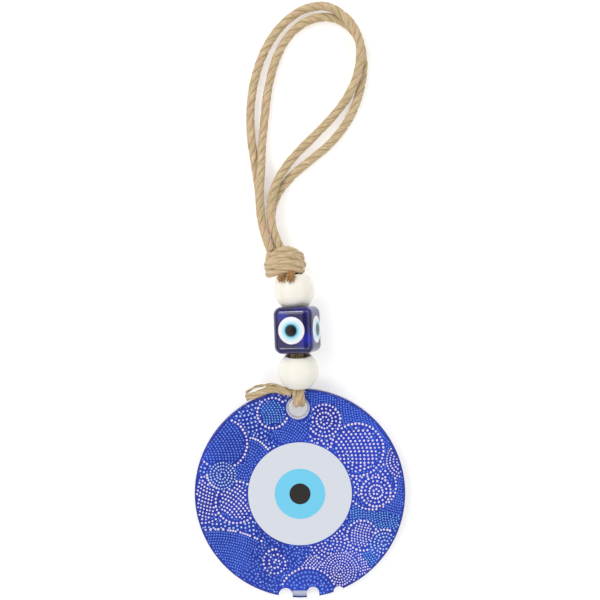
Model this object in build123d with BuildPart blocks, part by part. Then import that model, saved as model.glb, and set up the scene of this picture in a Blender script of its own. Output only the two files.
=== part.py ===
"""Evil eye ornament: a printed glass disc hung from three beads and a doubled twine loop.

The ornament lies on its back on a table. +Y runs from the disc to the loop and +Z is up.
The origin is on the table, under the middle of the disc, beads and knot taken together.
Sizes are in millimetres.
"""

import math
import os

from build123d import *

os.makedirs("parts", exist_ok=True)

# ---------------------------------------------------------------- driving dimensions
DISC_R = 50.0  # glass disc
DISC_T = 4.2
RIM_ROUND = 0.6
HOLE_R = 4.45  # cord hole, near the top of the disc
HOLE_X = -1.0
HOLE_FROM_CENTRE = 41.0
HOLE_ROUND = 1.1
WEB_FROM_CENTRE = 47.5  # in the strip of glass between the hole and the rim
NOTCHES = ((-6.8, 3.3, 45.2), (6.25, 2.95, 44.6), (18.5, 2.5, 44.3))  # x, radius, how far out

PRINT_T = 0.12  # the ink layers on the disc's face
PUPIL_R = 5.0
IRIS_R = 12.0
WHITE_R = 24.6
GROUND_R = DISC_R - RIM_ROUND - 0.1
TAB_PRINT_Y = -46.4  # the clear tab at the bottom has no print below this line

TWINE_D = 4.1  # the twine of the hanging loop
SLING_W = 5.4  # the same twine pressed flat where it holds the disc
SLING_T = 2.0
SLING_CLEAR = 3.3  # from the middle of the web to the inside of the sling
SLING_LIFT = 0.2  # the beads beside it hold it this far off the table

BEAD_R = 9.6
BEAD_HALF = 7.4  # half its length, from flat end to flat end
BEAD_HOLE_R = 4.8
BEAD_LIP = 0.9
CUBE_W = 18.8
CUBE_L = 21.8
CUBE_ROUND = 3.8
CUBE_HOLE_R = 4.2
CUBE_TURN = 17.0  # about the cord, so that its right side shows from above
EYE_R = 6.3  # the lampwork eyes on the cube's four sides
EYE_BLUE_R = 4.3
EYE_PUPIL_R = 2.6
EYE_RISE = 0.75
EYE_SINK = 0.35

KNOT_R = 9.3
KNOT_HALF = 6.5
KNOT_ROUND = 4.5
KNOT_LEAN = 6.0

# where things stand along the cord, from the web of the disc
WEB_Y = 13.7
CORD_X = -0.6
CORD_LEAN = 2.2  # the line of beads leans to the left
WEB_Z = SLING_CLEAR + SLING_T + SLING_LIFT
LOWER_AT = (11.08, BEAD_R, 0.3)  # along the cord, height, to the side
LOWER_TILT = 10.5
CUBE_HALF_SPAN = (CUBE_W / 2 - CUBE_ROUND) * (
    math.cos(math.radians(CUBE_TURN)) + math.sin(math.radians(CUBE_TURN))
) + CUBE_ROUND
CUBE_AT = (30.45, CUBE_HALF_SPAN + 0.08, 0.5)
UPPER_AT = (48.8, BEAD_R, -0.2)
KNOT_AT = (-6.9, 76.8, KNOT_R)

# ---------------------------------------------------------------- working planes
lean = math.radians(CORD_LEAN)
CORD = Plane(
    origin=(CORD_X, WEB_Y, 0),
    x_dir=(-math.sin(lean), math.cos(lean), 0),
    z_dir=(math.cos(lean), math.sin(lean), 0),
)  # x along the cord, y up, z to the right

disc_tilt = math.degrees(math.asin((WEB_Z - DISC_T / 2) / (WEB_FROM_CENTRE + DISC_R - RIM_ROUND)))
tilt = math.radians(disc_tilt)
DISC = Plane(
    origin=(
        0,
        WEB_Y - WEB_FROM_CENTRE * math.cos(tilt),
        WEB_Z - WEB_FROM_CENTRE * math.sin(tilt),
    ),
    x_dir=(1, 0, 0),
    z_dir=(0, -math.sin(tilt), math.cos(tilt)),
)  # the middle of the glass


def bead_plane(at, tilt_deg=0.0):
    """A plane through a bead's middle: x along its hole, y up, z to the right."""
    along, height, side = at
    a = math.radians(tilt_deg)
    axis = CORD.x_dir * math.cos(a) + CORD.y_dir * math.sin(a)
    return Plane(origin=CORD.from_local_coords((along, height, side)), x_dir=axis, z_dir=CORD.z_dir)


# ---------------------------------------------------------------- glass disc
def notch_cuts(depth_plane):
    """The round-topped notches that open through the bottom of the rim."""
    for x, radius, top in NOTCHES:
        with BuildSketch(depth_plane) as notch:
            with Locations((x, -(top + radius))):
                Circle(radius)
            with Locations((x, -(top + radius) - DISC_R / 2)):
                Rectangle(2 * radius, DISC_R)
        extrude(notch.sketch, amount=DISC_T, both=True, mode=Mode.SUBTRACT)


with BuildPart() as disc_glass:
    with BuildSketch(DISC):
        Circle(DISC_R)
        with Locations((HOLE_X, HOLE_FROM_CENTRE)):
            Circle(HOLE_R, mode=Mode.SUBTRACT)
    extrude(amount=DISC_T / 2, both=True)
    round_edges = disc_glass.edges().filter_by(GeomType.CIRCLE).sort_by(SortBy.RADIUS)
    fillet(round_edges[:2], radius=HOLE_ROUND)
    round_edges = disc_glass.edges().filter_by(GeomType.CIRCLE).sort_by(SortBy.RADIUS)
    fillet(round_edges[-2:], radius=RIM_ROUND)
    notch_cuts(DISC)
disc_glass.part.label = "disc_glass"
export_step(disc_glass.part, "parts/disc_glass.step")

# ---------------------------------------------------------------- ink layers on the disc
FACE = DISC.offset(DISC_T / 2)

with BuildPart() as print_ground:
    with BuildSketch(FACE):
        Circle(GROUND_R)
        Circle(WHITE_R, mode=Mode.SUBTRACT)
        with Locations((HOLE_X, HOLE_FROM_CENTRE)):
            Circle(HOLE_R + HOLE_ROUND + 0.05, mode=Mode.SUBTRACT)
        with Locations((0, TAB_PRINT_Y - 5)):
            Rectangle(7.2, 10, mode=Mode.SUBTRACT)
    extrude(amount=PRINT_T)
    notch_cuts(FACE)
print_ground.part.label = "print_ground"
export_step(print_ground.part, "parts/print_ground.step")


def printed_ring(name, outer, inner):
    """One ink colour of the eye in the middle of the disc."""
    with BuildPart() as ring:
        with BuildSketch(FACE):
            Circle(outer)
            if inner:
                Circle(inner, mode=Mode.SUBTRACT)
        extrude(amount=PRINT_T)
    ring.part.label = name
    export_step(ring.part, f"parts/{name}.step")
    return ring.part


printed_ring("print_white", WHITE_R, IRIS_R)
printed_ring("print_iris", IRIS_R, PUPIL_R)
printed_ring("print_pupil", PUPIL_R, 0)


# ---------------------------------------------------------------- round beads
def round_bead(name, at, tilt_deg):
    """A ball with two flat ends and a wide hole whose edges are rounded."""
    plane = bead_plane(at, tilt_deg)
    end_r = math.sqrt(BEAD_R**2 - BEAD_HALF**2)
    lip = BEAD_LIP
    bow = lip * (1 - math.sqrt(0.5))
    with BuildPart() as bead:
        with BuildSketch(plane):
            with BuildLine():
                ThreePointArc((-BEAD_HALF, end_r), (0, BEAD_R), (BEAD_HALF, end_r))
                Line((BEAD_HALF, end_r), (BEAD_HALF, BEAD_HOLE_R + lip))
                ThreePointArc(
                    (BEAD_HALF, BEAD_HOLE_R + lip),
                    (BEAD_HALF - bow, BEAD_HOLE_R + bow),
                    (BEAD_HALF - lip, BEAD_HOLE_R),
                )
                Line((BEAD_HALF - lip, BEAD_HOLE_R), (lip - BEAD_HALF, BEAD_HOLE_R))
                ThreePointArc(
                    (lip - BEAD_HALF, BEAD_HOLE_R),
                    (bow - BEAD_HALF, BEAD_HOLE_R + bow),
                    (-BEAD_HALF, BEAD_HOLE_R + lip),
                )
                Line((-BEAD_HALF, BEAD_HOLE_R + lip), (-BEAD_HALF, end_r))
            make_face()
        revolve(axis=Axis(plane.origin, plane.x_dir))
    bead.part.label = name
    export_step(bead.part, f"parts/{name}.step")
    return bead.part


upper_bead = round_bead("bead_upper", UPPER_AT, 0)
lower_bead = round_bead("bead_lower", LOWER_AT, LOWER_TILT)

# ---------------------------------------------------------------- glass cube and its eyes
cube_plane = bead_plane(CUBE_AT)
CUBE = Plane(
    origin=cube_plane.origin,
    x_dir=cube_plane.z_dir.rotate(Axis((0, 0, 0), cube_plane.x_dir), -CUBE_TURN),
    z_dir=cube_plane.x_dir,
)  # across the hole, with x towards the cube's right side


def side_plane(turn):
    """The face plane of one of the cube's four sides, with z pointing out of the glass."""
    outward = CUBE.x_dir.rotate(Axis((0, 0, 0), CUBE.z_dir), turn)
    return Plane(origin=CUBE.origin + outward * (CUBE_W / 2), x_dir=CUBE.z_dir, z_dir=outward)


SIDES = {"right": 0, "back": 90, "left": 180, "front": 270}

with BuildPart() as cube_glass:
    with BuildSketch(CUBE):
        RectangleRounded(CUBE_W, CUBE_W, CUBE_ROUND)
    extrude(amount=CUBE_L / 2, both=True)
    ends = cube_glass.faces().sort_by(Axis(CUBE.origin, CUBE.z_dir))
    fillet(ends[0].edges() + ends[-1].edges(), radius=CUBE_ROUND - 0.1)
    with BuildSketch(CUBE):
        Circle(CUBE_HOLE_R)
    extrude(amount=CUBE_L, both=True, mode=Mode.SUBTRACT)
    for turn in SIDES.values():
        with BuildSketch(side_plane(turn).offset(-EYE_SINK)):
            Circle(EYE_R)
        extrude(amount=CUBE_ROUND, mode=Mode.SUBTRACT)
cube_glass.part.label = "cube_glass"
export_step(cube_glass.part, "parts/cube_glass.step")


def eye_ring(name, turn, outer, inner):
    """One colour of a lampwork eye: a ring cut from a shallow dome of glass."""
    face = side_plane(turn)
    dome_r = (EYE_R**2 + EYE_RISE**2) / (2 * EYE_RISE)

    def rise(r):
        return math.sqrt(dome_r**2 - r**2) - (dome_r - EYE_RISE)

    section = Plane(origin=face.origin, x_dir=face.x_dir, z_dir=face.x_dir.cross(face.z_dir))
    with BuildPart() as ring:
        with BuildSketch(section):
            with BuildLine():
                middle = (outer + inner) / 2
                Line((inner, -EYE_SINK), (outer, -EYE_SINK))
                Line((outer, -EYE_SINK), (outer, rise(outer)))
                ThreePointArc((outer, rise(outer)), (middle, rise(middle)), (inner, rise(inner)))
                Line((inner, rise(inner)), (inner, -EYE_SINK))
            make_face()
        revolve(axis=Axis(face.origin, face.z_dir))
    ring.part.label = name
    export_step(ring.part, f"parts/{name}.step")
    return ring.part


for side, turn in SIDES.items():
    eye_ring(f"eye_{side}_white", turn, EYE_R, EYE_BLUE_R)
    eye_ring(f"eye_{side}_blue", turn, EYE_BLUE_R, EYE_PUPIL_R)
    eye_ring(f"eye_{side}_pupil", turn, EYE_PUPIL_R, 0)

# ---------------------------------------------------------------- sling through the beads
ring_mid = SLING_CLEAR + SLING_T / 2
SLING_ROUTE = (
    (58.0, 11.3),
    (20.0, 11.3),
    (-ring_mid, 9.4),
    (-ring_mid, WEB_Z - ring_mid),
    (3.15, WEB_Z - ring_mid),
    (4.5, 6.3),
    (20.0, 8.5),
    (58.0, 8.5),
)  # along the cord and height: down in front of the web, under it and back up behind
SLING_RADII = (30.0, 4.0, 4.0, 4.0, 2.8, 30.0)

with BuildPart() as twine_sling:
    with BuildLine(CORD):
        sling_line = FilletPolyline(*SLING_ROUTE, radius=SLING_RADII)
    with BuildSketch(Plane(origin=sling_line @ 0, x_dir=CORD.z_dir, z_dir=sling_line % 0)):
        Ellipse(SLING_W / 2, SLING_T / 2)
    sweep()
twine_sling.part.label = "twine_sling"
export_step(twine_sling.part, "parts/twine_sling.step")

# ---------------------------------------------------------------- gathering knot
knot_lean = math.radians(KNOT_LEAN)
KNOT = Plane(
    origin=KNOT_AT,
    x_dir=(math.cos(knot_lean), math.sin(knot_lean), 0),
    z_dir=(0, 0, 1),
)

with BuildPart() as gathering_knot:
    with BuildSketch(KNOT):
        with Locations((KNOT_R / 2, 0)):
            Rectangle(KNOT_R, 2 * KNOT_HALF)
        fillet(vertices().group_by(Axis.X)[-1], radius=KNOT_ROUND)
    revolve(axis=Axis(KNOT.origin, KNOT.y_dir))
gathering_knot.part.label = "gathering_knot"
export_step(gathering_knot.part, "parts/gathering_knot.step")


# ---------------------------------------------------------------- hanging loop
def tube_radii(route, share=0.45):
    """The largest arc that each corner of a route has room for."""
    points = [Vector(*p) for p in route]
    radii = []
    for before, at, after in zip(points, points[1:], points[2:]):
        turn = (at - before).get_angle(after - at)
        shorter = min((at - before).length, (after - at).length)
        radii.append(share * shorter / math.tan(math.radians(turn / 2)))
    return radii


def twine_tube(name, route, diameter):
    """A length of twine as a plain round tube along straight runs and tangent arcs."""
    radii = tube_radii(route)
    with BuildPart() as tube:
        with BuildLine():
            line = FilletPolyline(*route, radius=radii)
        with BuildSketch(Plane(origin=line @ 0, z_dir=line % 0)):
            Circle(diameter / 2)
        sweep()
    expected = line.length * math.pi * diameter**2 / 4
    print(f"{name}: length {line.length:.1f}, volume {tube.part.volume / expected:.4f} of expected")
    print("  radii", " ".join(f"{r:.0f}" for r in radii))
    tube.part.label = name
    export_step(tube.part, f"parts/{name}.step")
    return tube.part


LOOP_A_ROUTE = (
    (-13.5, 81.0, 6.4),
    (-17.5, 90.2, 3.3),
    (-18.9, 100.5, 2.1),
    (-19.8, 111.5, 2.1),
    (-21.8, 124.5, 2.1),
    (-23.9, 139.0, 2.1),
    (-23.6, 154.0, 2.1),
    (-20.4, 170.0, 2.1),
    (-13.0, 185.3, 2.1),
    (-1.4, 196.6, 2.1),
    (12.0, 199.0, 4.4),
    (21.6, 192.6, 6.5),
    (28.2, 183.0, 6.4),
    (28.9, 171.6, 6.3),
    (26.0, 160.4, 4.8),
    (19.5, 149.8, 2.3),
    (8.8, 138.4, 2.1),
    (-2.4, 127.6, 2.4),
    (-9.9, 117.0, 4.8),
    (-13.5, 107.2, 6.4),
    (-14.2, 97.5, 6.6),
    (-12.3, 88.9, 8.1),
    (-8.5, 81.2, 10.8),
)
LOOP_B_ROUTE = (
    (-13.4, 80.8, 10.8),
    (-17.3, 90.2, 7.7),
    (-19.0, 100.5, 6.4),
    (-19.2, 111.2, 6.3),
    (-18.3, 122.2, 5.0),
    (-18.3, 132.2, 2.5),
    (-17.0, 144.2, 2.1),
    (-15.8, 157.2, 2.1),
    (-12.2, 172.8, 2.1),
    (-5.2, 185.9, 2.1),
    (5.8, 193.3, 2.1),
    (17.4, 193.6, 2.1),
    (27.4, 186.2, 2.1),
    (30.7, 173.3, 2.1),
    (29.8, 161.0, 2.1),
    (24.8, 146.0, 2.1),
    (15.8, 133.6, 2.1),
    (3.0, 123.4, 2.1),
    (-7.2, 114.4, 2.1),
    (-12.8, 104.8, 2.1),
    (-14.1, 96.4, 2.3),
    (-12.3, 88.6, 3.8),
    (-8.5, 81.2, 6.5),
)
twine_tube("loop_turn_a", LOOP_A_ROUTE, TWINE_D)
twine_tube("loop_turn_b", LOOP_B_ROUTE, TWINE_D)

# ---------------------------------------------------------------- tail of the tie
TAIL_ROUTE = (
    (-4.0, 13.95, 9.6),
    (-7.6, 15.3, 9.5),
    (-12.6, 16.6, 9.5),
    (-18.0, 14.6, 9.5),
    (-25.4, 12.0, 9.2),
)
TAIL_PLY_ROUTE = (
    (-13.2, 18.6, 9.6),
    (-17.6, 17.9, 9.5),
    (-21.6, 17.3, 9.5),
    (-25.4, 14.4, 9.3),
)
twine_tube("twine_tail", TAIL_ROUTE, 2.9)
twine_tube("tail_ply", TAIL_PLY_ROUTE, 1.2)

# ---------------------------------------------------------------- cut ends under the knot
CUT_ENDS = (
    ((-7.6, 72.4, 15.4), (-8.6, 67.4, 19.3)),
    ((-4.4, 72.2, 15.6), (-4.6, 67.0, 19.9)),
)
with BuildPart() as cut_ends:
    for start, end in CUT_ENDS:
        with BuildSketch(Plane(origin=start, z_dir=Vector(*end) - Vector(*start))):
            Circle(1.25)
        extrude(amount=(Vector(*end) - Vector(*start)).length)
cut_ends.part.label = "cut_ends"
export_step(cut_ends.part, "parts/cut_ends.step")

print(f"disc tilt {disc_tilt:.3f}, web height {WEB_Z}, cube height {CUBE_HALF_SPAN:.3f}")
for name, at, angle in (("lower", LOWER_AT, LOWER_TILT), ("cube", CUBE_AT, 0), ("upper", UPPER_AT, 0)):
    plane = bead_plane(at, angle)
    print(name, "pivot", tuple(plane.origin), "axis", tuple(plane.x_dir))
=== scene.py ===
"""An evil eye hanging lying on its back: printed glass disc, beads, eye cube and twine loop."""

import math
import random

import bmesh
import bpy
from mathutils import Matrix, Vector, noise


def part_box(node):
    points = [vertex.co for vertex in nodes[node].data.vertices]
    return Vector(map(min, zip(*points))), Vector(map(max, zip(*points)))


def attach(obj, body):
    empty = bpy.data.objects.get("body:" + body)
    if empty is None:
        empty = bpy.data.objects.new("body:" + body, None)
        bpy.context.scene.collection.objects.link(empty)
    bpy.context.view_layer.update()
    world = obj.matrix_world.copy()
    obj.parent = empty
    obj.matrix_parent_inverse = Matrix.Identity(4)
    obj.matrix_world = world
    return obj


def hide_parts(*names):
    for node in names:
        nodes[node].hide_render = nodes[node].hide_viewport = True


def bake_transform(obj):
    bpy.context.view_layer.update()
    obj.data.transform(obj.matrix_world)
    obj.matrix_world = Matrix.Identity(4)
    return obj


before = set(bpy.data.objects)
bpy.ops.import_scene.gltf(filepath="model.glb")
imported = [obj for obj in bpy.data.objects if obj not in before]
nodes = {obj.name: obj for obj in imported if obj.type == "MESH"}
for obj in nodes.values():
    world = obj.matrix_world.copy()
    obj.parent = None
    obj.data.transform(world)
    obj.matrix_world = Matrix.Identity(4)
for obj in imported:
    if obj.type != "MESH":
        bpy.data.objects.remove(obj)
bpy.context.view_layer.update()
MM = 0.001

# ------------------------------------------------------------------------------ glass disc
# A round of clear glass, fire-polished at the rim and round the cord hole. It shows at its
# edge, in the hole and in the small tab at the bottom, where nothing is printed.


def finish(name, colour, roughness, sockets):
    """A material with one shader, and plain values on its named sockets."""
    material = bpy.data.materials.new(name)
    material.use_nodes = True
    shader = material.node_tree.nodes["Principled BSDF"]
    shader.inputs["Base Color"].default_value = (*colour, 1.0)
    shader.inputs["Roughness"].default_value = roughness
    for socket, value in sockets.items():
        shader.inputs[socket].default_value = value
    return material


def give(material, *names):
    """Puts a material on CAD nodes."""
    for name in names:
        nodes[name].material_slots[0].material = material


def wire(material, *links):
    """Joins sockets, each link given as (node, output, node, input)."""
    for start, out, end, into in links:
        material.node_tree.links.new(start.outputs[out], end.inputs[into])


DISC_CENTRE = (Vector(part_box("disc_glass")[0]) + Vector(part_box("disc_glass")[1])) / 2
clear_glass = finish(
    "pale glass", (0.72, 0.75, 0.88), 0.10, {"Transmission Weight": 0.45, "IOR": 1.5}
)
tree = clear_glass.node_tree
place = tree.nodes.new("ShaderNodeTexCoord")
reach = tree.nodes.new("ShaderNodeVectorMath")
reach.operation = "DISTANCE"
reach.inputs[1].default_value = DISC_CENTRE
scale = tree.nodes.new("ShaderNodeMath")
scale.operation = "DIVIDE"
scale.inputs[1].default_value = 50 * MM
rim = tree.nodes.new("ShaderNodeValToRGB")
rim.color_ramp.elements[0].position = 0.975
rim.color_ramp.elements[0].color = (0.72, 0.75, 0.88, 1)
rim.color_ramp.elements[1].position = 0.985
rim.color_ramp.elements[1].color = (0.02, 0.035, 0.36, 1)
wire(
    clear_glass,
    (place, "Object", reach, 0),
    (reach, "Value", scale, 0),
    (scale, 0, rim, "Fac"),
    (rim, "Color", tree.nodes["Principled BSDF"], "Base Color"),
)
give(clear_glass, "disc_glass")

# ------------------------------------------------------------------------------ printing
# The eye is printed on the face in flat glossy inks: a cobalt ground, then a grey white ring,
# a sky blue ring and a black pupil.
INK_T = 0.12 * MM
gloss_ink = {"Coat Weight": 0.25, "Coat Roughness": 0.12}

ground_ink = finish("cobalt ink", (0.02, 0.045, 0.46), 0.35, gloss_ink)
tree = ground_ink.node_tree
place = tree.nodes.new("ShaderNodeTexCoord")
cloud = tree.nodes.new("ShaderNodeTexNoise")
cloud.inputs["Scale"].default_value = 42.0
tone = tree.nodes.new("ShaderNodeValToRGB")
tone.color_ramp.elements[0].position = 0.35
tone.color_ramp.elements[0].color = (0.013, 0.026, 0.32, 1)
tone.color_ramp.elements[1].position = 0.7
tone.color_ramp.elements[1].color = (0.022, 0.055, 0.52, 1)
wire(
    ground_ink,
    (place, "Object", cloud, "Vector"),
    (cloud, "Fac", tone, "Fac"),
    (tone, "Color", tree.nodes["Principled BSDF"], "Base Color"),
)
give(ground_ink, "print_ground")
give(finish("grey white ink", (0.68, 0.71, 0.78), 0.4, gloss_ink), "print_white")
give(finish("sky ink", (0.17, 0.62, 0.86), 0.4, gloss_ink), "print_iris")
give(finish("black ink", (0.022, 0.020, 0.018), 0.35, gloss_ink), "print_pupil")

# ------------------------------------------------------------------------------ painted dots
# The ground is filled with raised dots of paint in rings, waves and spirals. Each patch is
# laid over the ones before it in the list, and some have an edge of larger white dots.
white_low, white_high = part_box("print_white")
face_tilt = math.asin((white_high.z - white_low.z - INK_T) / (white_high.x - white_low.x))
face = Matrix.Translation((white_low + white_high) / 2) @ Matrix.Rotation(face_tilt, 4, "X")

DOT_INKS = {
    "white": (0.78, 0.72, 0.90),
    "pale": (0.46, 0.66, 0.92),
    "aqua": (0.17, 0.50, 0.84),
    "sky": (0.12, 0.30, 0.86),
}
# x and y from the disc's middle, radius, ring gap, dot gap, dot radius, ink, edge, laid as
PATCHES = (
    (-30, 62, 61, 2.0, 1.95, 0.52, "pale", False, "rings"),
    (-56, -18, 34, 1.9, 1.85, 0.52, "pale", False, "rings"),
    (-40, -62, 45, 1.3, 1.2, 0.40, "sky", True, "rings"),
    (2, -62, 37, 1.9, 1.7, 0.50, "sky", False, "rings"),
    (38, -62, 46, 1.3, 1.15, 0.42, "white", False, "rings"),
    (62, -34, 25, 2.1, 2.0, 0.52, "pale", True, "rings"),
    (64, -8, 40, 1.25, 1.2, 0.40, "aqua", False, "rings"),
    (58, 44, 55, 1.25, 1.15, 0.38, "sky", False, "rings"),
    (8, 23, 15, 1.95, 1.8, 0.55, "white", False, "rings"),
    (34, 4, 11.5, 1.9, 1.8, 0.55, "white", False, "arcs"),
    (27, 21, 12.5, 1.9, 1.8, 0.55, "white", True, "arcs"),
    (36, 1, 7, 1.9, 1.7, 0.54, "white", True, "rays"),
    (49, 16, 8, 1.6, 1.3, 0.45, "white", False, "rings"),
    (11.5, 35, 7.5, 1.9, 1.7, 0.54, "white", True, "rays"),
    (-5, 31, 9.5, 1.25, 1.2, 0.40, "sky", False, "arcs"),
    (-13, 38.5, 7.2, 1.3, 1.2, 0.40, "aqua", True, "arcs"),
    (-26, 14, 13, 1.35, 1.25, 0.42, "sky", True, "rings"),
    (-37, 24, 12, 1.45, 1.3, 0.42, "sky", True, "arcs"),
    (-46, -3, 11, 1.65, 1.5, 0.50, "white", False, "arcs"),
    (-30, -4, 10, 1.7, 1.55, 0.52, "white", True, "arcs"),
    (-37, 9, 7, 1.5, 1.35, 0.46, "pale", True, "spiral"),
    (14, -23, 9, 1.75, 1.6, 0.50, "white", False, "rings"),
    (29.5, -20, 7.2, 1.35, 1.3, 0.44, "white", True, "arcs"),
    (40, -24, 7, 1.7, 1.5, 0.50, "pale", True, "spiral"),
    (19, -37, 9, 1.3, 1.25, 0.42, "white", False, "spiral"),
    (-11.5, -33, 11, 1.9, 1.75, 0.50, "sky", False, "arcs"),
    (-11.5, -33, 6.5, 2.6, 1.8, 0.54, "white", True, "spiral"),
    (4, -49, 13.5, 2.0, 1.8, 0.54, "sky", True, "rings"),
)
FIELD_IN, FIELD_OUT = 24.8, 49.3
HOLE = (-1.0, 41.0, 6.1)
NOTCHES = ((-6.8, 3.3, 45.2), (6.25, 2.95, 44.6), (18.5, 2.5, 44.3))
TAB_HALF, TAB_TOP = 4.1, -45.8
EDGE_DOT = 0.6
EDGE_GAP = 1.75
rng = random.Random(11)


def on_print(x, y, r):
    """Whether a dot lies on the printed ground, clear of the hole, the notches and the tab."""
    if not FIELD_IN + r < math.hypot(x, y) < FIELD_OUT - r:
        return False
    if math.hypot(x - HOLE[0], y - HOLE[1]) < HOLE[2] + r:
        return False
    if abs(x) < TAB_HALF + r and y < TAB_TOP:
        return False
    for nx, radius, top in NOTCHES:
        if abs(x - nx) < radius + r + 0.2 and y < -top + 0.3:
            return False
    return True


def patch_places(x, y, radius, ring_gap, dot_gap, laid_as):
    """Where a patch's dots go, from its edge inwards, with whether each is on the edge."""
    ring = radius
    turn = rng.random() * math.tau
    rays = max(6, round(math.tau * radius / dot_gap / 1.6))
    if laid_as == "arcs":
        from_x, from_y = x + 1.7 * radius * math.cos(turn), y + 1.7 * radius * math.sin(turn)
        row = 0.7 * radius
        while row < 2.7 * radius:
            for k in range(round(math.tau * row / dot_gap)):
                a = dot_gap * k / row
                dot_x, dot_y = from_x + row * math.cos(a), from_y + row * math.sin(a)
                if math.hypot(dot_x - x, dot_y - y) < radius - ring_gap:
                    yield dot_x, dot_y, False
            row += ring_gap
        for k in range(round(math.tau * radius / EDGE_GAP)):
            a = turn + EDGE_GAP * k / radius
            yield x + radius * math.cos(a), y + radius * math.sin(a), True
        return
    if laid_as == "spiral":
        while ring > 0.5:
            yield x + ring * math.cos(turn), y + ring * math.sin(turn), ring > radius - 0.3
            turn += dot_gap / ring
            ring -= ring_gap * dot_gap / ring / math.tau
        return
    while ring > 0.3 * ring_gap:
        count = max(1, round(math.tau * ring / dot_gap))
        if laid_as == "rays" and 2.5 < ring < radius - 0.1:
            count = rays
        else:
            turn = rng.random() * math.tau
        for k in range(count):
            a = turn + math.tau * k / count
            yield x + ring * math.cos(a), y + ring * math.sin(a), ring == radius
        ring -= ring_gap


placed = {ink: [] for ink in DOT_INKS}
taken = {}
CELL = 1.4
FILLERS = 9000


def crowded(x, y, r, room):
    """Whether a dot would come too near to one that is there already."""
    cx, cy = int(x // CELL), int(y // CELL)
    near = (dot for i in (-1, 0, 1) for j in (-1, 0, 1) for dot in taken.get((cx + i, cy + j), ()))
    return any(math.hypot(x - dx, y - dy) < (r + dr) * room for dx, dy, dr in near)


for upto in range(len(PATCHES) - 1, -1, -1):
    px, py, radius, ring_gap, dot_gap, dot_r, ink, edged, laid_as = PATCHES[upto]
    for x, y, on_edge in patch_places(px, py, radius, ring_gap, dot_gap, laid_as):
        r = EDGE_DOT if edged and on_edge else dot_r
        x += rng.uniform(-0.09, 0.09)
        y += rng.uniform(-0.09, 0.09)
        r *= rng.uniform(0.86, 1.08)
        if not on_print(x, y, r) or crowded(x, y, r, 1.03):
            continue
        if any(math.hypot(x - p[0], y - p[1]) < p[2] for p in PATCHES[upto + 1 :]):
            continue
        taken.setdefault((int(x // CELL), int(y // CELL)), []).append((x, y, r))
        placed["white" if edged and on_edge else ink].append((x, y, r))

# small dots fill the gaps that the patches leave between them
for k in range(FILLERS):
    a, far = rng.random() * math.tau, math.sqrt(rng.uniform(FIELD_IN**2, FIELD_OUT**2))
    x, y, r = far * math.cos(a), far * math.sin(a), rng.uniform(0.34, 0.46)
    if on_print(x, y, r) and not crowded(x, y, r, 1.3):
        taken.setdefault((int(x // CELL), int(y // CELL)), []).append((x, y, r))
        placed["sky" if k % 3 else "pale"].append((x, y, r))

DOT_RISE = 0.14
for ink, dots in placed.items():
    bm = bmesh.new()
    for x, y, r in dots:
        lift = Matrix.Translation((x * MM, y * MM, INK_T / 2 + DOT_RISE * 0.4 * MM))
        bmesh.ops.create_cone(
            bm,
            cap_ends=True,
            segments=8,
            radius1=r * MM,
            radius2=r * 0.6 * MM,
            depth=DOT_RISE * MM,
            matrix=face @ lift,
        )
    mesh = bpy.data.meshes.new(f"dots_{ink}")
    bm.to_mesh(mesh)
    bm.free()
    mesh.materials.append(finish(f"{ink} paint", DOT_INKS[ink], 0.4, {"Coat Weight": 0.2}))
    dots_piece = bpy.data.objects.new(f"dots_{ink}", mesh)
    bpy.context.scene.collection.objects.link(dots_piece)
    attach(dots_piece, "disc")

# ------------------------------------------------------------------------------ twine sling
# One piece of three-ply jute runs down through the beads, round the strip of glass between
# the hole and the rim, and back up. It is pressed flat where the disc hangs from it.
CORD_FOOT = Vector((-0.6, 13.7, 0.0))
CORD_LEAN = math.radians(2.2)
cord_along = Vector((-math.sin(CORD_LEAN), math.cos(CORD_LEAN), 0.0))
cord_side = Vector((math.cos(CORD_LEAN), math.sin(CORD_LEAN), 0.0))


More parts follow.
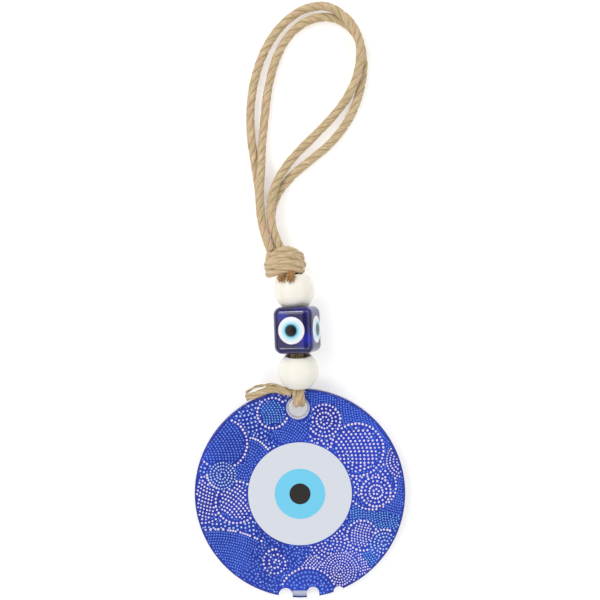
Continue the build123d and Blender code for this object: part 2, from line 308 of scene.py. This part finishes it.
def jute_group():
    """Fibre streaks, blotches and painted shade in the grooves between the plies, shared by every piece of
    twine.
    """
    group = bpy.data.node_groups.new("Jute fibre", "ShaderNodeTree")
    for name, kind in (("Streaks", "NodeSocketFloat"), ("Groove", "NodeSocketFloat")):
        group.interface.new_socket(name=name, in_out="INPUT", socket_type=kind)
    for name in ("Light", "Mid", "Groove shade", "Tint", "Blush"):
        group.interface.new_socket(name=name, in_out="INPUT", socket_type="NodeSocketColor")
    group.interface.new_socket(name="Color", in_out="OUTPUT", socket_type="NodeSocketColor")
    group.interface.new_socket(name="Height", in_out="OUTPUT", socket_type="NodeSocketFloat")
    new = group.nodes.new
    enter, leave = new("NodeGroupInput"), new("NodeGroupOutput")
    strand = new("ShaderNodeAttribute")
    strand.attribute_name = "fibre"
    coords = new("ShaderNodeTexCoord")
    streak = new("ShaderNodeTexNoise")
    streak.inputs["Detail"].default_value = 5.0
    streak.inputs["Roughness"].default_value = 0.65
    blotch = new("ShaderNodeTexNoise")
    blotch.inputs["Scale"].default_value = 210.0
    blotch.inputs["Detail"].default_value = 2.0
    flush = new("ShaderNodeTexNoise")
    flush.inputs["Scale"].default_value = 160.0
    flush.inputs["Distortion"].default_value = 1.0
    lights = new("ShaderNodeMix")
    tints = new("ShaderNodeMix")
    blushes = new("ShaderNodeMix")
    groove_shading = new("ShaderNodeMix")
    for mix in (lights, tints, blushes, groove_shading):
        mix.data_type = "RGBA"
    streak_range = new("ShaderNodeMapRange")
    streak_range.inputs["From Min"].default_value = 0.38
    streak_range.inputs["From Max"].default_value = 0.62
    blotch_range = new("ShaderNodeMapRange")
    blotch_range.inputs["From Min"].default_value = 0.5
    blotch_range.inputs["From Max"].default_value = 0.68
    blotch_range.inputs["To Max"].default_value = 0.8
    flush_range = new("ShaderNodeMapRange")
    flush_range.inputs["From Min"].default_value = 0.52
    flush_range.inputs["From Max"].default_value = 0.66
    flush_range.inputs["To Max"].default_value = 0.8
    # painted shade: the inner side of each ply, where it presses on the others, is mixed towards the shade
    # colour
    groove_range = new("ShaderNodeMapRange")
    groove_range.inputs["From Min"].default_value = 0.35
    groove_range.inputs["From Max"].default_value = 0.75
    groove_range.inputs["To Max"].default_value = 0.75
    link = group.links.new
    link(enter.outputs["Streaks"], streak.inputs["Scale"])
    link(strand.outputs["Vector"], streak.inputs["Vector"])
    link(coords.outputs["Object"], blotch.inputs["Vector"])
    link(streak.outputs["Fac"], streak_range.inputs["Value"])
    link(blotch.outputs["Fac"], blotch_range.inputs["Value"])
    link(enter.outputs["Groove"], groove_range.inputs["Value"])
    link(streak_range.outputs["Result"], lights.inputs["Factor"])
    link(enter.outputs["Mid"], lights.inputs["A"])
    link(enter.outputs["Light"], lights.inputs["B"])
    link(blotch_range.outputs["Result"], tints.inputs["Factor"])
    link(lights.outputs["Result"], tints.inputs["A"])
    link(enter.outputs["Tint"], tints.inputs["B"])
    link(coords.outputs["Object"], flush.inputs["Vector"])
    link(flush.outputs["Fac"], flush_range.inputs["Value"])
    link(flush_range.outputs["Result"], blushes.inputs["Factor"])
    link(tints.outputs["Result"], blushes.inputs["A"])
    link(enter.outputs["Blush"], blushes.inputs["B"])
    link(groove_range.outputs["Result"], groove_shading.inputs["Factor"])
    link(blushes.outputs["Result"], groove_shading.inputs["A"])
    link(enter.outputs["Groove shade"], groove_shading.inputs["B"])
    link(groove_shading.outputs["Result"], leave.inputs["Color"])
    link(streak.outputs["Fac"], leave.inputs["Height"])
    return group


jute_fibre = jute_group()


def jute(name, light, mid, groove_shade, tint, blush, streaks=3.0):
    """A twine material: dry, hairy and streaked along its fibres, with painted shade in the grooves between
    plies.
    """
    material = finish(name, mid, 0.85, {"Sheen Weight": 0.25, "Specular IOR Level": 0.2})
    tree = material.node_tree
    shader = tree.nodes["Principled BSDF"]
    fibres = tree.nodes.new("ShaderNodeGroup")
    fibres.node_tree = jute_fibre
    groove = tree.nodes.new("ShaderNodeAttribute")
    groove.attribute_name = "groove"
    bump = tree.nodes.new("ShaderNodeBump")
    bump.inputs["Strength"].default_value = 0.9
    bump.inputs["Distance"].default_value = 0.35 * MM
    fibres.inputs["Streaks"].default_value = streaks
    colours = {"Light": light, "Mid": mid, "Groove shade": groove_shade, "Tint": tint, "Blush": blush}
    for socket, colour in colours.items():
        fibres.inputs[socket].default_value = (*colour, 1.0)
    wire(
        material,
        (groove, "Fac", fibres, "Groove"),
        (fibres, "Color", shader, "Base Color"),
        (fibres, "Height", bump, "Height"),
        (bump, "Normal", shader, "Normal"),
    )
    return material


def laid_line(route, step=0.7):
    """Evenly spaced points, in metres, along the smooth curve of a given route in mm."""
    curve = bpy.data.curves.new("route", "CURVE")
    curve.dimensions = "3D"
    spline = curve.splines.new("NURBS")
    spline.points.add(len(route) - 1)
    for point, at in zip(spline.points, route):
        point.co = (*(c * MM for c in at), 1.0)
    spline.order_u = 3
    spline.use_endpoint_u = True
    spline.resolution_u = 10
    holder = bpy.data.objects.new("route", curve)
    bpy.context.scene.collection.objects.link(holder)
    mesh = bpy.data.meshes.new_from_object(holder)
    fine = [v.co.copy() for v in mesh.vertices]
    bpy.data.objects.remove(holder)
    bpy.data.curves.remove(curve)
    bpy.data.meshes.remove(mesh)
    gaps = [(b - a).length for a, b in zip(fine, fine[1:])]
    count = max(2, round(sum(gaps) / (step * MM)))
    points, k, passed = [], 0, 0.0
    for i in range(count + 1):
        want = sum(gaps) * i / count
        while k < len(gaps) - 1 and passed + gaps[k] < want:
            passed += gaps[k]
            k += 1
        points.append(fine[k].lerp(fine[k + 1], min(1.0, (want - passed) / gaps[k])))
    return points


def frames_along(points, side):
    """(point, across, over, forward) at each point, turning no more than the line does."""
    across, frames = Vector(side), []
    for i, point in enumerate(points):
        ahead = points[min(i + 1, len(points) - 1)] - points[max(i - 1, 0)]
        forward = ahead.normalized()
        across = (across - forward * across.dot(forward)).normalized()
        frames.append((point, across, forward.cross(across), forward))
    return frames


SECTION = 10  # sides of a ply's section


def spin_ply(bm, frames, shape, ply):
    """Adds one closed ply: shape(i, s) gives its middle, its two half widths and its turn."""
    fibre = bm.verts.layers.float_vector.get("fibre") or bm.verts.layers.float_vector.new("fibre")
    groove = bm.verts.layers.float.get("groove") or bm.verts.layers.float.new("groove")
    seat, s, ring = None, 0.0, []
    for i, (point, across, over, forward) in enumerate(frames):
        s += (point - frames[i - 1][0]).length / MM if i else 0.0
        offset, half_out, half_wide, turn = shape(i, s)
        out = across * math.cos(turn) + over * math.sin(turn)
        wide = forward.cross(out)
        middle = point + across * offset[0] * MM + over * offset[1] * MM
        axes = Matrix((out * half_out * MM, wide * half_wide * MM, forward * MM)).transposed()
        now = Matrix.Translation(middle) @ axes.to_4x4()
        if seat is None:
            made = bmesh.ops.create_circle(
                bm, cap_ends=True, segments=SECTION, radius=1.0, matrix=Matrix.Identity(4)
            )
            ring = made["verts"]
            for v in ring:
                # groove runs from 0 on the outer side of a ply to 1 on its inner side, where the jute material
                # paints shade
                v[groove] = 0.5 - 0.5 * v.co.x
                v[fibre] = (v.co.x + 7.3 * ply, v.co.y, 0.0)
            bmesh.ops.transform(bm, matrix=now, verts=ring)
            edges = list(dict.fromkeys(e for v in ring for e in v.link_edges))
        else:
            grown = bmesh.ops.extrude_edge_only(bm, edges=edges)["geom"]
            ring = [g for g in grown if isinstance(g, bmesh.types.BMVert)]
            inside = set(ring)
            edges = [
                g
                for g in grown
                if isinstance(g, bmesh.types.BMEdge) and inside.issuperset(g.verts)
            ]
            bmesh.ops.transform(bm, matrix=now @ seat.inverted(), verts=ring)
            for v in ring:
                v[fibre].z = s / 9.0
        seat = now
    bmesh.ops.contextual_create(bm, geom=edges)


def twine(name, line, material, width=4.1, thick=4.1, lay=17.0, plies=3, side=(1, 0, 0), seed=1):
    """A laid twine along a line: plies that turn about each other, a little uneven."""
    frames = frames_along(line, side)
    whole = bpy.data.meshes.new(name)
    for ply in range(plies):
        bm = bmesh.new()

        def shape(i, s, ply=ply):
            lump = 1.0 + 0.16 * noise.noise(Vector((s / 6.0, seed * 3.1, ply * 5.7)))
            turn = math.tau * (s / lay + ply / plies) + 0.9 * noise.noise(
                Vector((s / 12.0, seed * 1.7, 0.3))
            )
            room_w, room_t = width * 0.26, thick * 0.26
            offset = (room_w * math.cos(turn), room_t * math.sin(turn))
            flat = 0.5 * (width + thick) / 2
            out = 0.46 * (width * math.cos(turn) ** 2 + thick * math.sin(turn) ** 2) / 2
            return offset, out * 1.04 * lump, flat * 0.72 * lump, turn

        spin_ply(bm, frames, shape, ply)
        bmesh.ops.recalc_face_normals(bm, faces=bm.faces)
        bm.from_mesh(whole)
        bm.to_mesh(whole)
        bm.free()
    for face_of in whole.polygons:
        face_of.use_smooth = True
    whole.materials.append(material)
    piece = bpy.data.objects.new(name, whole)
    bpy.context.scene.collection.objects.link(piece)
    return piece


# The deepest colour of each jute is painted shade, laid in the grooves between the plies.
natural_jute = jute(
    "natural jute",
    light=(0.76, 0.61, 0.38),
    mid=(0.46, 0.32, 0.175),
    groove_shade=(0.33, 0.23, 0.12),
    tint=(0.54, 0.45, 0.22),
    blush=(0.66, 0.45, 0.30),
)

# along the cord and height, in mm
SLING_ROUTE = (
    (58.0, 11.3),
    (20.0, 11.3),
    (6.0, 10.5),
    (-1.8, 10.4),
    (-4.8, 9.3),
    (-4.6, 5.3),
    (-4.8, 2.0),
    (-2.4, 1.2),
    (1.2, 1.2),
    (4.3, 1.3),
    (4.7, 3.9),
    (5.2, 6.3),
    (9.0, 7.1),
    (20.0, 8.5),
    (58.0, 8.5),
)
sling_line = laid_line([CORD_FOOT + cord_along * a + Vector((0, 0, h)) for a, h in SLING_ROUTE], 0.6)
sling = twine("sling", sling_line, natural_jute, width=6.2, thick=2.1, lay=45.0, plies=5, side=cord_side, seed=2)
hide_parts("twine_sling")
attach(sling, "cord")

# ------------------------------------------------------------------------------ round beads
# Two cream balls with flat ends and a wide hole, glazed all over and fired.
bead_glaze = finish(
    "cream glaze",
    (0.92, 0.885, 0.79),
    0.25,
    {"Specular IOR Level": 0.25, "Subsurface Weight": 0.15, "Subsurface Scale": 0.002},
)
give(bead_glaze, "bead_upper", "bead_lower")

# ------------------------------------------------------------------------------ eye cube
# A lampwork cube of deep cobalt glass, with a hole made by the wire that it was wound on.
# Each side has a white, a pale blue and a black drop of glass melted on top of each other.
cobalt = finish(
    "cobalt glass", (0.012, 0.010, 0.13), 0.05, {"IOR": 1.52, "Specular IOR Level": 0.6}
)
tree = cobalt.node_tree
place = tree.nodes.new("ShaderNodeTexCoord")
# painted light: a noise lays brighter blue patches over the deep navy, standing in for light glowing through the
# glass
painted_glow = tree.nodes.new("ShaderNodeTexNoise")
painted_glow.inputs["Scale"].default_value = 110.0
painted_glow.inputs["Detail"].default_value = 1.5
tone = tree.nodes.new("ShaderNodeValToRGB")
tone.color_ramp.elements[0].position = 0.52
tone.color_ramp.elements[0].color = (0.014, 0.012, 0.085, 1)
tone.color_ramp.elements[1].position = 0.74
tone.color_ramp.elements[1].color = (0.018, 0.022, 0.36, 1)
wire(
    cobalt,
    (place, "Object", painted_glow, "Vector"),
    (painted_glow, "Fac", tone, "Fac"),
    (tone, "Color", tree.nodes["Principled BSDF"], "Base Color"),
)
give(cobalt, "cube_glass")

cube_low, cube_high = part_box("cube_glass")
cube_middle = (cube_low + cube_high) / 2


def drop_glass(side):
    """Glass whose colour changes with the distance from the middle of one eye."""
    low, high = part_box(f"eye_{side}_pupil")
    centre = (low + high) / 2
    axis = (centre - cube_middle).normalized()
    material = finish(f"eye glass {side}", (0.8, 0.8, 0.8), 0.12, {"Specular IOR Level": 0.35})
    tree = material.node_tree
    place = tree.nodes.new("ShaderNodeTexCoord")
    shift = tree.nodes.new("ShaderNodeVectorMath")
    shift.operation = "SUBTRACT"
    shift.inputs[1].default_value = centre
    cross = tree.nodes.new("ShaderNodeVectorMath")
    cross.operation = "CROSS_PRODUCT"
    cross.inputs[1].default_value = axis
    reach = tree.nodes.new("ShaderNodeVectorMath")
    reach.operation = "LENGTH"
    scale = tree.nodes.new("ShaderNodeMath")
    scale.operation = "DIVIDE"
    scale.inputs[1].default_value = 6.5 * MM
    rings = tree.nodes.new("ShaderNodeValToRGB")
    stops = rings.color_ramp.elements
    stops[0].position, stops[0].color = 0.0, (0.022, 0.009, 0.007, 1)
    stops[1].position, stops[1].color = 1.0, (0.84, 0.72, 0.80, 1)
    for at, colour in (
        (0.26, (0.010, 0.008, 0.008)),
        (0.38, (0.006, 0.022, 0.034)),
        (0.43, (0.05, 0.28, 0.40)),
        (0.50, (0.26, 0.62, 0.74)),
        (0.62, (0.52, 0.80, 0.88)),
        (0.78, (0.80, 0.86, 0.90)),
        (0.92, (0.86, 0.83, 0.88)),
    ):
        stops.new(at).color = (*colour, 1)
    wire(
        material,
        (place, "Object", shift, 0),
        (shift, 0, cross, 0),
        (cross, 0, reach, 0),
        (reach, "Value", scale, 0),
        (scale, 0, rings, "Fac"),
        (rings, "Color", tree.nodes["Principled BSDF"], "Base Color"),
    )
    return material


for side in ("front", "right", "back", "left"):
    give(drop_glass(side), *(f"eye_{side}_{drop}" for drop in ("white", "blue", "pupil")))

# ------------------------------------------------------------------------------ gathering knot
# The twine is wound round itself above the beads and pulled tight. The turns lie level on
# the right and slope down to the left, and the last one crosses over the others.
knot_low, knot_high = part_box("gathering_knot")
knot_middle = (knot_low + knot_high) / (2 * MM)
WIND_R = 8.5
KNOT_TURNS = 3.6
KNOT_STEP = 2.8


def winding(turns, start_y, step, reach, drop):
    """The route of a few turns round the knot, widest low down and lower on the left."""
    route = []
    for k in range(round(turns * 10) + 1):
        a = math.tau * k / 10
        height = start_y + step * a / math.tau
        barrel = 1.0 - 0.0105 * (height + 1.5) ** 2
        route.append(
            (
                knot_middle.x - 0.33 * max(0.0, height) + reach * barrel * math.cos(a),
                knot_middle.y + height - drop * max(0.0, -math.cos(a)),
                knot_middle.z + reach * barrel * 0.96 * math.sin(a),
            )
        )
    return route


bm = bmesh.new()
bmesh.ops.create_uvsphere(
    bm,
    u_segments=24,
    v_segments=16,
    radius=1.0,
    matrix=Matrix.Translation(knot_middle * MM) @ Matrix.Diagonal((7.9 * MM, 6.8 * MM, 7.6 * MM, 1.0)),
)
core_mesh = bpy.data.meshes.new("knot_core")
bm.to_mesh(core_mesh)
bm.free()
core_mesh.materials.append(natural_jute)
knot_core = bpy.data.objects.new("knot_core", core_mesh)
bpy.context.scene.collection.objects.link(knot_core)
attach(knot_core, "cord")

knot_wind = twine(
    "knot_turns",
    laid_line(winding(KNOT_TURNS, -4.8, KNOT_STEP, WIND_R, 3.4)),
    natural_jute,
    width=3.6,
    thick=3.7,
    lay=25.0,
    seed=3,
)
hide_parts("gathering_knot")
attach(knot_wind, "cord")

CROSSING = (
    (-11.0, 76.5, 3.5),
    (-15.0, 74.8, 6.5),
    (-15.8, 74.2, 10.8),
    (-13.1, 75.0, 15.4),
    (-7.2, 78.0, 17.7),
    (-2.3, 79.3, 15.4),
    (0.4, 79.2, 11.0),
    (0.0, 78.8, 6.0),
    (-4.0, 78.0, 3.5),
)
SHOULDER = (
    (-12.0, 78.5, 5.0),
    (-9.5, 81.0, 9.0),
    (-6.2, 81.4, 12.0),
    (-2.6, 80.3, 12.4),
    (-0.6, 78.6, 10.0),
    (-2.0, 77.5, 6.5),
    (-5.0, 77.0, 5.0),
)
SIDE_TURN = (
    (-11.5, 84.5, 7.0),
    (-13.6, 81.4, 9.8),
    (-14.6, 77.8, 11.2),
    (-14.3, 74.0, 11.4),
    (-12.4, 71.2, 11.6),
    (-8.5, 71.4, 10.8),
)
for name, route, seed in (
    ("knot_crossing", CROSSING, 4),
    ("knot_shoulder", SHOULDER, 5),
    ("knot_side_turn", SIDE_TURN, 13),
):
    strand = twine(name, laid_line(route), natural_jute, 3.8, 3.4, 25.0, side=(0, 1, 0), seed=seed)
    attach(strand, "cord")

# ------------------------------------------------------------------------------ hanging loop
# The same twine makes two turns that leave the knot together and cross on the right: the
# outer turn passes over the inner one near the top. Only the knot holds them.
LOOP_A_ROUTE = (
    (-13.5, 81.0, 6.4),
    (-17.5, 90.2, 3.3),
    (-18.9, 100.5, 2.1),
    (-19.8, 111.5, 2.1),
    (-21.8, 124.5, 2.1),
    (-23.9, 139.0, 2.1),
    (-23.6, 154.0, 2.1),
    (-20.4, 170.0, 2.1),
    (-13.0, 185.3, 2.1),
    (-1.4, 196.6, 2.1),
    (12.0, 199.0, 4.4),
    (21.6, 192.6, 6.5),
    (28.2, 183.0, 6.4),
    (28.9, 171.6, 6.3),
    (26.0, 160.4, 4.8),
    (19.5, 149.8, 2.3),
    (8.8, 138.4, 2.1),
    (-2.4, 127.6, 2.4),
    (-9.9, 117.0, 4.8),
    (-13.5, 107.2, 6.4),
    (-14.2, 97.5, 6.6),
    (-12.3, 88.9, 8.1),
    (-8.5, 81.2, 10.8),
)
LOOP_B_ROUTE = (
    (-13.4, 80.8, 10.8),
    (-17.3, 90.2, 7.7),
    (-19.0, 100.5, 6.4),
    (-19.2, 111.2, 6.3),
    (-18.3, 122.2, 5.0),
    (-18.3, 132.2, 2.5),
    (-17.0, 144.2, 2.1),
    (-15.8, 157.2, 2.1),
    (-12.2, 172.8, 2.1),
    (-5.2, 185.9, 2.1),
    (5.8, 193.3, 2.1),
    (17.4, 193.6, 2.1),
    (27.4, 186.2, 2.1),
    (30.7, 173.3, 2.1),
    (29.8, 161.0, 2.1),
    (24.8, 146.0, 2.1),
    (15.8, 133.6, 2.1),
    (3.0, 123.4, 2.1),
    (-7.2, 114.4, 2.1),
    (-12.8, 104.8, 2.1),
    (-14.1, 96.4, 2.3),
    (-12.3, 88.6, 3.8),
    (-8.5, 81.2, 6.5),
)


def stray_hairs(name, line, count, reach, length, seed):
    """Loose fibres that stand off a twine, as one piece."""
    rng = random.Random(seed)
    frames = frames_along(line, (1, 0, 0))
    curve = bpy.data.curves.new(name, "CURVE")
    curve.dimensions = "3D"
    curve.bevel_depth = 0.045 * MM
    curve.bevel_resolution = 0
    curve.use_fill_caps = True
    for _ in range(count):
        point, across, over, forward = frames[rng.randrange(2, len(frames) - 2)]
        a = rng.random() * math.tau
        out = across * math.cos(a) + over * math.sin(a)
        heading = (forward * rng.choice((-1, 1)) + out * rng.uniform(0.1, 0.9)).normalized()
        at = point + out * reach * MM * 0.8
        spline = curve.splines.new("POLY")
        spline.points.add(4)
        for k, dot in enumerate(spline.points):
            at = Vector((at.x, at.y, max(at.z, 0.15 * MM)))
            dot.co = (*at, 1.0)
            dot.radius = 1.0 - 0.18 * k
            at = at + heading * length * MM / 4 * rng.uniform(0.6, 1.2)
            bend = Vector((rng.gauss(0, 0.25), rng.gauss(0, 0.25), rng.gauss(0, 0.2)))
            heading = (heading + bend).normalized()
    holder = bpy.data.objects.new(name, curve)
    bpy.context.scene.collection.objects.link(holder)
    mesh = bpy.data.meshes.new_from_object(holder)
    bpy.data.objects.remove(holder)
    bpy.data.curves.remove(curve)
    mesh.name = name
    mesh.materials.clear()
    mesh.materials.append(hair_jute)
    hairs = bpy.data.objects.new(name, mesh)
    bpy.context.scene.collection.objects.link(hairs)
    return hairs


hair_jute = finish("loose jute", (0.62, 0.46, 0.26), 0.8, {"Specular IOR Level": 0.2})

for name, node, route, seed in (
    ("loop_a", "loop_turn_a", LOOP_A_ROUTE, 6),
    ("loop_b", "loop_turn_b", LOOP_B_ROUTE, 7),
):
    line = laid_line(route)
    rope = twine(name, line, natural_jute, seed=seed)
    hairs = stray_hairs(f"{name}_hairs", line, 150, 2.0, 5.0, seed)
    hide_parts(node)
    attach(rope, "cord")
    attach(hairs, "cord")

# ------------------------------------------------------------------------------ cut ends
# Where the twine was cut, two short tufts of open fibre stick out below the knot and lie
# on the shoulder of the upper bead.
# The tufts' deeper orange-brown is partly the jute's own colour and partly painted shade, where they lie under
# the knot against the bead.
shaded_cut_jute = jute(
    "cut jute",
    light=(0.52, 0.29, 0.11),
    mid=(0.36, 0.18, 0.06),
    groove_shade=(0.18, 0.08, 0.025),
    tint=(0.48, 0.30, 0.12),
    blush=(0.30, 0.13, 0.04),
)
shaded_cut_fibre = finish("cut fibre", (0.50, 0.29, 0.12), 0.8, {"Specular IOR Level": 0.2})
CUT_ENDS = (
    ((-7.9, 72.6, 14.9), (-8.7, 67.4, 17.3)),
    ((-4.4, 72.6, 15.6), (-4.5, 67.0, 18.9)),
)


def open_tuft(name, root, tip, spread, count, seed):
    """Cut fibres that fan out from the end of a strand, as one piece."""
    rng = random.Random(seed)
    curve = bpy.data.curves.new(name, "CURVE")
    curve.dimensions = "3D"
    curve.bevel_depth = 0.24 * MM
    curve.bevel_resolution = 0
    curve.use_fill_caps = True
    for _ in range(count):
        low = Vector((rng.gauss(0, 0.7), rng.gauss(0, 0.3), rng.gauss(0, 0.5)))
        high = Vector((rng.gauss(0, spread), rng.gauss(0, 0.6), rng.gauss(0, 0.5)))
        reach = rng.uniform(0.7, 1.12)
        spline = curve.splines.new("POLY")
        spline.points.add(3)
        for k, point in enumerate(spline.points):
            t = k / 3
            at = Vector(root).lerp(Vector(tip), t * reach) + low.lerp(high, t)
            at += Vector((rng.gauss(0, 0.1), rng.gauss(0, 0.1), rng.gauss(0, 0.1)))
            point.co = (*(c * MM for c in at), 1.0)
            point.radius = 1.0 - 0.2 * k
    holder = bpy.data.objects.new(name, curve)
    bpy.context.scene.collection.objects.link(holder)
    mesh = bpy.data.meshes.new_from_object(holder)
    bpy.data.objects.remove(holder)
    bpy.data.curves.remove(curve)
    mesh.name = name
    mesh.materials.clear()
    mesh.materials.append(shaded_cut_fibre)
    fibres = bpy.data.objects.new(name, mesh)
    bpy.context.scene.collection.objects.link(fibres)
    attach(fibres, "cord")


for k, (root, tip) in enumerate(CUT_ENDS, 1):
    route = [Vector(root).lerp(Vector(tip), t) for t in (0.0, 0.25, 0.5, 0.75)]
    tuft = twine(f"cut_end_{k}", laid_line(route, 0.5), shaded_cut_jute, width=2.4, thick=2.0, seed=8 + k)
    if k == 1:
        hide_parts("cut_ends")
    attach(tuft, "cord")
    open_tuft(f"cut_fibres_{k}", root, tip, 1.1, 130, 20 + k)

# ------------------------------------------------------------------------------ tail
# The free end of the tie, opened into two loose plies. It lies on the disc.
TAIL_ROUTE = (
    (-4.0, 13.95, 9.6),
    (-7.6, 15.3, 9.5),
    (-12.6, 16.6, 9.5),
    (-18.0, 14.6, 9.5),
    (-25.4, 12.0, 9.2),
)
TAIL_PLY_ROUTE = (
    (-13.2, 18.6, 9.6),
    (-17.6, 17.9, 9.5),
    (-21.6, 17.3, 9.5),
    (-25.4, 14.4, 9.3),
)
TAIL_HUMP_ROUTE = (
    (-4.0, 15.0, 10.0),
    (-8.0, 16.9, 10.0),
    (-12.4, 18.4, 9.9),
    (-14.6, 17.4, 9.8),
    (-17.4, 15.0, 9.6),
)
tail_line = laid_line(TAIL_ROUTE, 0.5)
tail = twine("tail", tail_line, natural_jute, width=3.4, thick=2.6, lay=30.0, seed=11)
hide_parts("twine_tail")
tail_ply = twine("tail_loose_ply", laid_line(TAIL_PLY_ROUTE, 0.5), natural_jute, 1.4, 1.2, 12.0, 2, seed=12)
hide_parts("tail_ply")
tail_hump = twine("tail_hump_ply", laid_line(TAIL_HUMP_ROUTE, 0.5), natural_jute, 2.0, 1.6, 20.0, 2, seed=14)
tail_hairs = stray_hairs("tail_hairs", tail_line, 110, 1.6, 3.5, 15)
for piece in (tail, tail_ply, tail_hump, tail_hairs):
    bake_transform(piece)

# ------------------------------------------------------------------------------ floor, light, view
# The ornament lies on a plain white table under soft light, seen from straight above.
bm = bmesh.new()
bmesh.ops.create_grid(bm, x_segments=1, y_segments=1, size=1.5)
floor_mesh = bpy.data.meshes.new("floor")
bm.to_mesh(floor_mesh)
bm.free()
white_table = {"Specular IOR Level": 0.0, "Emission Color": (1, 1, 1, 1), "Emission Strength": 0.4}
floor_mesh.materials.append(finish("white table", (0.78, 0.78, 0.78), 0.9, white_table))
floor = bpy.data.objects.new("floor", floor_mesh)
floor.location.z = -0.05 * MM
bpy.context.scene.collection.objects.link(floor)

world = bpy.data.worlds.new("soft room")
world.use_nodes = True
bpy.context.scene.world = world
tree = world.node_tree
place = tree.nodes.new("ShaderNodeTexCoord")
split = tree.nodes.new("ShaderNodeSeparateXYZ")
room = tree.nodes.new("ShaderNodeValToRGB")
stops = room.color_ramp.elements
stops[0].position, stops[0].color = 0.1, (0.11, 0.11, 0.11, 1)
stops[1].position, stops[1].color = 0.9, (0.11, 0.11, 0.11, 1)
for at, light in ((0.35, 0.65), (0.55, 1.18), (0.8, 1.18)):
    stops.new(at).color = (light, light, light, 1)
seen = tree.nodes.new("ShaderNodeLightPath")
backdrop = tree.nodes.new("ShaderNodeMix")
backdrop.data_type = "RGBA"
backdrop.inputs["B"].default_value = (0.86, 0.86, 0.86, 1)
tree.links.new(place.outputs["Generated"], split.inputs[0])
tree.links.new(split.outputs["Z"], room.inputs["Fac"])
tree.links.new(room.outputs["Color"], backdrop.inputs["A"])
tree.links.new(seen.outputs["Is Camera Ray"], backdrop.inputs["Factor"])
tree.links.new(backdrop.outputs["Result"], tree.nodes["Background"].inputs["Color"])


def softbox(name, at, aim, size, power):
    """A flat light panel that faces a point."""
    lamp = bpy.data.lights.new(name, "AREA")
    lamp.shape = "RECTANGLE"
    lamp.size, lamp.size_y = size
    lamp.energy = power
    panel = bpy.data.objects.new(name, lamp)
    panel.location = at
    panel.rotation_euler = (Vector(aim) - Vector(at)).to_track_quat("-Z", "Y").to_euler()
    bpy.context.scene.collection.objects.link(panel)


middle = (0.0, 0.06, 0.0)
softbox("high panel", (-0.45, 0.45, 0.60), middle, (0.5, 0.5), 1.5)
for name, x, y in (
    ("head left lamp", -0.35, 0.52),
    ("head right lamp", 0.38, 0.50),
    ("foot left lamp", -0.36, -0.30),
    ("foot right lamp", 0.35, -0.32),
):
    softbox(name, (x, y, 0.42), middle, (0.12, 0.12), 0.35)

lens = bpy.data.cameras.new("camera")
lens.sensor_width = 36.0
lens.lens = 50.5
lens.clip_start = 0.01
camera = bpy.data.objects.new("camera", lens)
camera.location = (0.0, 0.05805, 0.405)
bpy.context.scene.collection.objects.link(camera)
bpy.context.scene.camera = camera
bpy.context.scene.view_settings.view_transform = "Standard"
